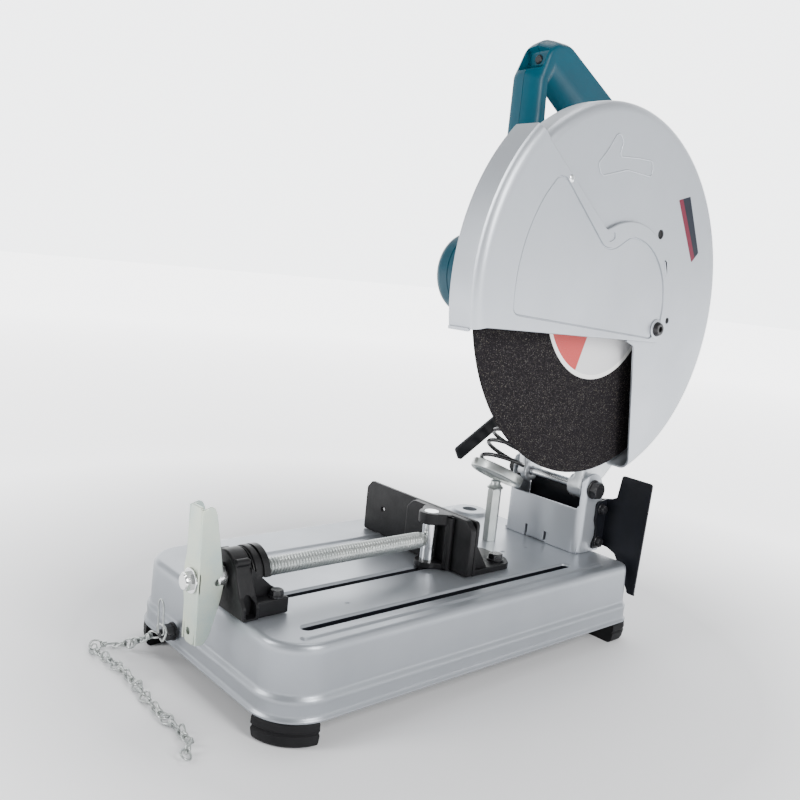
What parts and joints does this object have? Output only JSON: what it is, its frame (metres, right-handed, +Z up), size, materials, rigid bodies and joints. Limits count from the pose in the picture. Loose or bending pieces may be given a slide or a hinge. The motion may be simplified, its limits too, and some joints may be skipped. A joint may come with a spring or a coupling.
{
  "type": "abrasive chop saw",
  "caption": "Bench chop saw: pressed base with a screw vise and fence, and a sprung hinged head carrying a motor, a guarded abrasive wheel and a D handle.",
  "frame": {"origin": "on the floor under the middle of the saw's box, the loose chain left out", "axes": "+Z up; +X towards the wheel's side; the operator stands on the -Y side and the head's hinge is towards +Y"},
  "size_m": [0.271, 0.6126, 0.6195],
  "materials": {
    "base_pan": "silver powder coat, satin",
    "foot_front_left": "matt rubber",
    "foot_front_right": "matt rubber",
    "foot_rear_left": "matt rubber",
    "foot_rear_right": "matt rubber",
    "hinge_bracket": "silver hammered paint, satin",
    "hinge_shaft": "ground bright steel",
    "hinge_nut": "black oxide and black paint",
    "stop_post": "zinc plated",
    "spring_seat": "zinc plated",
    "return_spring": "blackened spring wire",
    "spark_plate": "black oxide and black paint",
    "nut_block": "black painted casting",
    "nut_block_bolt_left": "black oxide and black paint",
    "nut_block_bolt_right": "black oxide and black paint",
    "chain_bolt": "black oxide and black paint",
    "chain_clip": "zinc plated",
    "chain": "zinc plated",
    "fence_pivot_bolt": "black oxide and black paint",
    "fence_clamp_bolt": "black oxide and black paint",
    "fence": "black oxide and black paint",
    "vise_nut": "black painted casting",
    "vise_jaw": "black painted casting",
    "jaw_pin": "ground bright steel",
    "vise_screw": "zinc plated",
    "vise_lever": "zinc plated",
    "lever_bolt": "zinc plated",
    "arm_casting": "as cast, satin",
    "bearing_box": "as cast, satin",
    "spindle_bearing": "ground bright steel",
    "main_guard": "silver hammered paint, satin",
    "stop_plate": "black oxide and black paint",
    "motor_housing": "moulded, fine texture",
    "motor_end_cap": "moulded, fine texture",
    "brush_cap_upper": "moulded, matt",
    "brush_cap_lower": "moulded, matt",
    "carbon_brush_upper": "pressed carbon",
    "carbon_brush_lower": "pressed carbon",
    "stator": "stacked laminations",
    "front_bearing": "ground bright steel",
    "rear_bearing": "ground bright steel",
    "handle_left": "moulded, fine texture",
    "handle_right": "moulded, fine texture",
    "switch_body": "moulded, matt",
    "cord_gland": "matt rubber",
    "abrasive_wheel": "resin-bonded grit, rough",
    "inner_flange": "black oxide and black paint",
    "outer_flange": "black oxide and black paint",
    "clamp_bolt": "zinc plated",
    "spindle": "ground bright steel",
    "spindle_gear": "black oxide and black paint",
    "armature_shaft": "ground bright steel",
    "armature_core": "enamelled windings",
    "commutator": "enamelled windings",
    "cooling_fan": "moulded, matt",
    "safety_guard": "silver hammered paint, satin",
    "guard_bolt": "black oxide and black paint",
    "trigger": "moulded, matt",
    "lock_off_button": "moulded, matt",
    "shaft_lock_pin": "moulded, matt"
  },
  "bodies": {
    "base": {"base_pan": "base_pan", "foot_front_left": "foot_front_left", "foot_front_right": "foot_front_right", "foot_rear_left": "foot_rear_left", "foot_rear_right": "foot_rear_right", "hinge_bracket": "hinge_bracket", "hinge_shaft": "hinge_shaft", "hinge_nut": "hinge_nut", "stop_post": "stop_post", "spring_seat": "spring_seat", "return_spring": "return_spring", "spark_plate": "spark_plate", "nut_block": "nut_block", "nut_block_bolt_left": "nut_block_bolt_left", "nut_block_bolt_right": "nut_block_bolt_right", "chain_bolt": "chain_bolt", "chain_clip": "chain_clip", "chain": "chain", "fence_pivot_bolt": "fence_pivot_bolt", "fence_clamp_bolt": "fence_clamp_bolt"},
    "fence": {"fence": "fence"},
    "vise_nut": {"vise_nut": "vise_nut"},
    "jaw": {"vise_jaw": "vise_jaw", "jaw_pin": "jaw_pin"},
    "vise_screw": {"vise_screw": "vise_screw", "vise_lever": "vise_lever", "lever_bolt": "lever_bolt"},
    "head": {"arm_casting": "arm_casting", "bearing_box": "bearing_box", "spindle_bearing": "spindle_bearing", "main_guard": "main_guard", "stop_plate": "stop_plate", "motor_housing": "motor_housing", "motor_end_cap": "motor_end_cap", "brush_cap_upper": "brush_cap_upper", "brush_cap_lower": "brush_cap_lower", "carbon_brush_upper": "carbon_brush_upper", "carbon_brush_lower": "carbon_brush_lower", "stator": "stator", "front_bearing": "front_bearing", "rear_bearing": "rear_bearing", "handle_left": "handle_left", "handle_right": "handle_right", "switch_body": "switch_body", "cord_gland": "cord_gland"},
    "wheel": {"abrasive_wheel": "abrasive_wheel", "inner_flange": "inner_flange", "outer_flange": "outer_flange", "clamp_bolt": "clamp_bolt", "spindle": "spindle", "spindle_gear": "spindle_gear"},
    "armature": {"armature_shaft": "armature_shaft", "armature_core": "armature_core", "commutator": "commutator", "cooling_fan": "cooling_fan"},
    "safety_guard": {"safety_guard": "safety_guard", "guard_bolt": "guard_bolt"},
    "trigger": {"trigger": "trigger"},
    "lock_off": {"lock_off_button": "lock_off_button"},
    "shaft_lock": {"shaft_lock_pin": "shaft_lock_pin"}
  },
  "joints": [
    {"name": "head_tilt", "type": "hinge", "parent": "base", "child": "head", "pos_m": [0.0265, 0.163, 0.154], "axis": [1, 0, 0], "range_deg": [0, 47], "stiffness_Nm_per_rad": 20, "springref_deg": -28.65, "deforming": ["return_spring"]},
    {"name": "wheel_spin", "type": "hinge", "parent": "head", "child": "wheel", "pos_m": [0.096, 0.1075, 0.36], "axis": [1, 0, 0], "continuous": true},
    {"name": "armature_spin", "type": "hinge", "parent": "head", "child": "armature", "pos_m": [-0.0475, 0.14104, 0.37], "axis": [1, 0, 0], "continuous": true},
    {"name": "guard_swing", "type": "hinge", "parent": "head", "child": "safety_guard", "pos_m": [0.1185, 0.179, 0.333], "axis": [1, 0, 0], "range_deg": [-65, 0]},
    {"name": "trigger_press", "type": "slide", "parent": "head", "child": "trigger", "axis": [0, 0.4509, 0.8926], "range_m": [0, 0.006], "stiffness_N_per_m": 400, "springref_m": -0.005},
    {"name": "lock_off_press", "type": "slide", "parent": "head", "child": "lock_off", "axis": [1, 0, 0], "range_m": [0, 0.003], "stiffness_N_per_m": 300, "springref_m": -0.004},
    {"name": "shaft_lock_press", "type": "slide", "parent": "head", "child": "shaft_lock", "axis": [0, 1, 0], "range_m": [0, 0.006], "stiffness_N_per_m": 500, "springref_m": -0.005},
    {"name": "fence_swing", "type": "hinge", "parent": "base", "child": "fence", "pos_m": [0.0625, 0.037, 0.0822], "axis": [0, 0, 1], "range_deg": [-30, 0]},
    {"name": "jaw_slide", "type": "slide", "parent": "base", "child": "jaw", "axis": [0, 1, 0], "range_m": [-0.12, 0]},
    {"name": "screw_turn", "type": "hinge", "parent": "jaw", "child": "vise_screw", "pos_m": [0.0315, -0.277, 0.1105], "axis": [0, 1, 0], "range_deg": [-13935.5, 0]},
    {"name": "nut_flip", "type": "hinge", "parent": "base", "child": "vise_nut", "pos_m": [0.0115, -0.231, 0.1105], "axis": [0, 1, 0], "range_deg": [-100, 0]}
  ],
  "couplings": [
    {"joint": "armature_spin", "follows": "wheel_spin", "ratio": -3.4},
    {"joint": "jaw_slide", "follows": "screw_turn", "m_per_rad": 0.00049338}
  ]
}
